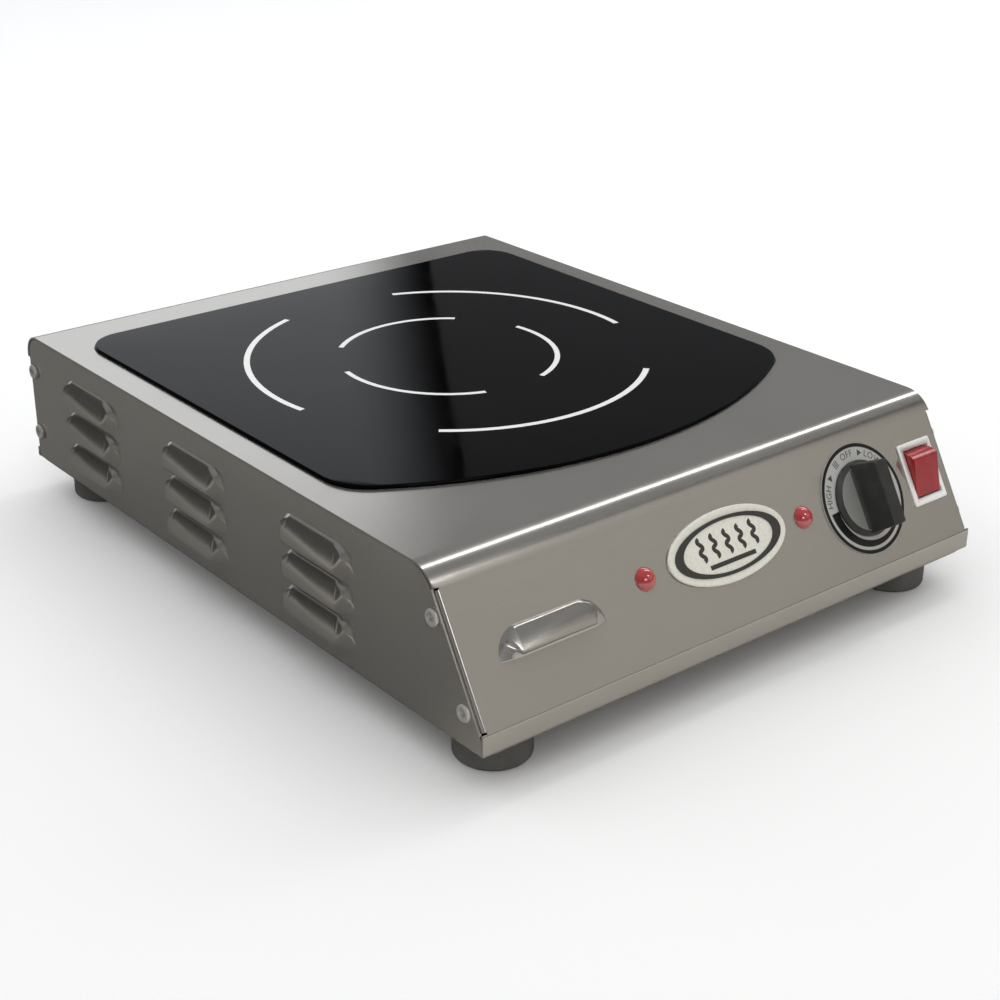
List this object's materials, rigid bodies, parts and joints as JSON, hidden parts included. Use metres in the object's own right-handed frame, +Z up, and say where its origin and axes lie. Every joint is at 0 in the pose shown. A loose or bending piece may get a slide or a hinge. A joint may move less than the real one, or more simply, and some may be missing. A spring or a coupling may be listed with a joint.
{
  "type": "induction hob",
  "caption": "Countertop single-zone induction hob: folded steel case with louvres, black glass with ring marking, sloped panel with knob, rocker and pilot lamps.",
  "frame": {"origin": "middle of the footprint, on the plane the feet stand on", "axes": "+Z up, +Y to the rear, -Y towards the user and the control panel, +X to the user's right"},
  "size_m": [0.336, 0.4358, 0.0973],
  "materials": {
    "steel": "satin",
    "zinc": "satin",
    "black_glass": "gloss",
    "white_enamel": "satin",
    "black_silicone": "satin",
    "mica": "matte",
    "copper_wire": "satin",
    "tray_resin": "matte",
    "ferrite": "matte",
    "spring_steel": "satin",
    "aluminium": "satin",
    "board_green": "satin",
    "black_plastic": "satin",
    "capacitor_yellow": "satin",
    "choke_winding": "satin",
    "terminal_green": "satin",
    "dial_grey": "satin",
    "knob_black": "satin",
    "bezel_white": "gloss",
    "rocker_red": "gloss",
    "lens_red": "gloss",
    "holder_black": "satin",
    "badge_cream": "gloss",
    "badge_dark": "satin",
    "foot_rubber": "matte",
    "lead_silicone": "satin"
  },
  "bodies": {
    "housing": {"base_pan": "steel", "top_cover": "steel", "cover_screws": "zinc", "clinch_nuts": "zinc", "foot_screws": "zinc", "foot_nuts": "zinc", "glass_plate": "black_glass", "zone_marking": "white_enamel", "glass_seal": "black_silicone", "glass_frame": "steel", "insulation_disc": "mica", "coil_winding": "copper_wire", "coil_tray": "tray_resin", "ferrite_bars": "ferrite", "temperature_sensor": "ferrite", "sensor_holder": "tray_resin", "tray_springs": "spring_steel", "shield_deck": "aluminium", "deck_pillars": "zinc", "deck_screws": "zinc", "power_board": "board_green", "board_standoffs": "black_plastic", "board_screws": "zinc", "heat_sink": "aluminium", "power_transistors": "black_plastic", "bridge_rectifier": "black_plastic", "film_capacitors": "capacitor_yellow", "bus_capacitor": "capacitor_yellow", "filter_choke": "choke_winding", "terminal_block": "terminal_green", "fan_frame": "black_plastic", "fan_screws": "zinc", "dial_plate": "dial_grey", "control_body": "black_plastic", "control_nut": "zinc", "rocker_bezel": "bezel_white", "badge_plate": "badge_cream", "badge_ring": "badge_dark", "cable_gland": "black_plastic", "gland_nut": "black_plastic", "earth_screw": "zinc", "mains_leads": "lead_silicone", "switch_leads": "lead_silicone", "coil_leads": "lead_silicone", "foot_front_left": "foot_rubber", "foot_front_right": "foot_rubber", "foot_rear_left": "foot_rubber", "foot_rear_right": "foot_rubber", "pilot_lens_left": "lens_red", "pilot_holder_left": "holder_black", "pilot_lens_right": "lens_red", "pilot_holder_right": "holder_black"},
    "knob": {"control_knob": "knob_black", "control_shaft": "zinc"},
    "rocker": {"rocker_button": "rocker_red"},
    "impeller": {"fan_impeller": "black_plastic"}
  },
  "joints": [
    {"name": "knob_turn", "type": "hinge", "parent": "housing", "child": "knob", "pos_m": [0.0955, -0.19281, 0.06091], "axis": [0, 0.8622, -0.5065], "range_deg": [0, 285]},
    {"name": "rocker_tip", "type": "hinge", "parent": "housing", "child": "rocker", "pos_m": [0.1422, -0.18835, 0.06061], "axis": [-1, 0, 0], "range_deg": [0, 36]},
    {"name": "fan_spin", "type": "hinge", "parent": "housing", "child": "impeller", "pos_m": [-0.078, -0.00485, 0.0322], "axis": [0, 0, 1], "continuous": true}
  ]
}
